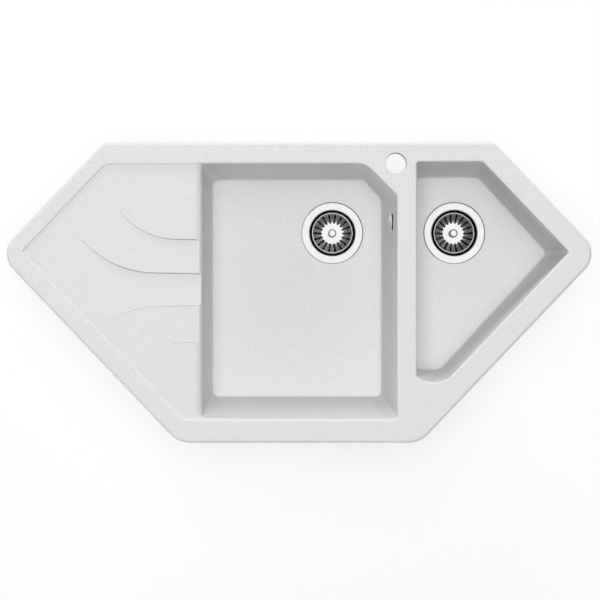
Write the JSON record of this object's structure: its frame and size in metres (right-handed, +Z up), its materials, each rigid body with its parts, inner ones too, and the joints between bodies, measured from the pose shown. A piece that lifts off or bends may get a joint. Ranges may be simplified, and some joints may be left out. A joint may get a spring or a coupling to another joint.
{
  "type": "corner kitchen sink",
  "caption": "Inset corner kitchen sink: six-sided moulded composite body with drainer, main and side bowl, lift-out basket strainers, overflow and waste pipework.",
  "frame": {"origin": "middle of the rear edge's seating strip, on the plane of the worktop's top surface", "axes": "+X along the length towards the side bowl, +Y to the rear where the tap stands, +Z up"},
  "size_m": [0.9772, 0.5025, 0.35],
  "materials": {
    "composite": "fine-grained matt white composite",
    "steel": "brushed",
    "polished": "polished",
    "rubber": "matt",
    "plastic": "moulded, slightly glossy",
    "hose": "flexible, matt",
    "nylon": "moulded",
    "zinc": "zinc plated"
  },
  "bodies": {
    "sink": {"sink_body": "composite", "main_flange_gasket": "rubber", "main_strainer_cup": "steel", "main_lower_gasket": "rubber", "main_waste_housing": "plastic", "main_waste_screw": "steel", "main_coupling_washer": "rubber", "main_coupling_nut": "plastic", "half_flange_gasket": "rubber", "half_strainer_cup": "steel", "half_lower_gasket": "rubber", "half_waste_housing": "plastic", "half_waste_screw": "steel", "half_coupling_washer": "rubber", "half_coupling_nut": "plastic", "waste_tee": "plastic", "half_elbow": "plastic", "cross_pipe": "plastic", "socket_washers": "rubber", "socket_nuts": "plastic", "overflow_cover": "polished", "overflow_screw": "polished", "overflow_gasket": "rubber", "overflow_elbow": "plastic", "overflow_hose": "hose", "hose_clamps": "steel", "clip_plugs": "nylon", "clip_screws": "steel"},
    "main_basket_unit": {"main_basket": "steel", "main_basket_seal": "rubber", "main_basket_stem": "steel", "main_basket_knob": "polished"},
    "half_basket_unit": {"half_basket": "steel", "half_basket_seal": "rubber", "half_basket_stem": "steel", "half_basket_knob": "polished"},
    "worktop_clip_1_arm": {"worktop_clip_1": "zinc"},
    "worktop_clip_2_arm": {"worktop_clip_2": "zinc"},
    "worktop_clip_3_arm": {"worktop_clip_3": "zinc"},
    "worktop_clip_4_arm": {"worktop_clip_4": "zinc"},
    "worktop_clip_5_arm": {"worktop_clip_5": "zinc"},
    "worktop_clip_6_arm": {"worktop_clip_6": "zinc"},
    "worktop_clip_7_arm": {"worktop_clip_7": "zinc"},
    "worktop_clip_8_arm": {"worktop_clip_8": "zinc"}
  },
  "joints": [
    {"name": "main_basket_lift", "type": "slide", "parent": "sink", "child": "main_basket_unit", "axis": [0, 0, 1], "range_m": [0, 0.24]},
    {"name": "half_basket_lift", "type": "slide", "parent": "sink", "child": "half_basket_unit", "axis": [0, 0, 1], "range_m": [0, 0.24]},
    {"name": "clip_1_swing", "type": "hinge", "parent": "sink", "child": "worktop_clip_1_arm", "pos_m": [-0.12118, -0.475, -0.02], "axis": [0, 0, 1], "range_deg": [-90, 90]},
    {"name": "clip_2_swing", "type": "hinge", "parent": "sink", "child": "worktop_clip_2_arm", "pos_m": [0.12118, -0.475, -0.02], "axis": [0, 0, 1], "range_deg": [-90, 90]},
    {"name": "clip_3_swing", "type": "hinge", "parent": "sink", "child": "worktop_clip_3_arm", "pos_m": [0.34372, -0.31691, -0.02], "axis": [0, 0, 1], "range_deg": [-90, 90]},
    {"name": "clip_4_swing", "type": "hinge", "parent": "sink", "child": "worktop_clip_4_arm", "pos_m": [0.3996, -0.10026, -0.02], "axis": [0, 0, 1], "range_deg": [-90, 90]},
    {"name": "clip_5_swing", "type": "hinge", "parent": "sink", "child": "worktop_clip_5_arm", "pos_m": [0.02606, -0.0135, -0.02], "axis": [0, 0, 1], "range_deg": [-90, 90]},
    {"name": "clip_6_swing", "type": "hinge", "parent": "sink", "child": "worktop_clip_6_arm", "pos_m": [-0.23455, -0.0135, -0.02], "axis": [0, 0, 1], "range_deg": [-90, 90]},
    {"name": "clip_7_swing", "type": "hinge", "parent": "sink", "child": "worktop_clip_7_arm", "pos_m": [-0.3996, -0.10026, -0.02], "axis": [0, 0, 1], "range_deg": [-90, 90]},
    {"name": "clip_8_swing", "type": "hinge", "parent": "sink", "child": "worktop_clip_8_arm", "pos_m": [-0.3377, -0.32324, -0.02], "axis": [0, 0, 1], "range_deg": [-90, 90]}
  ]
}
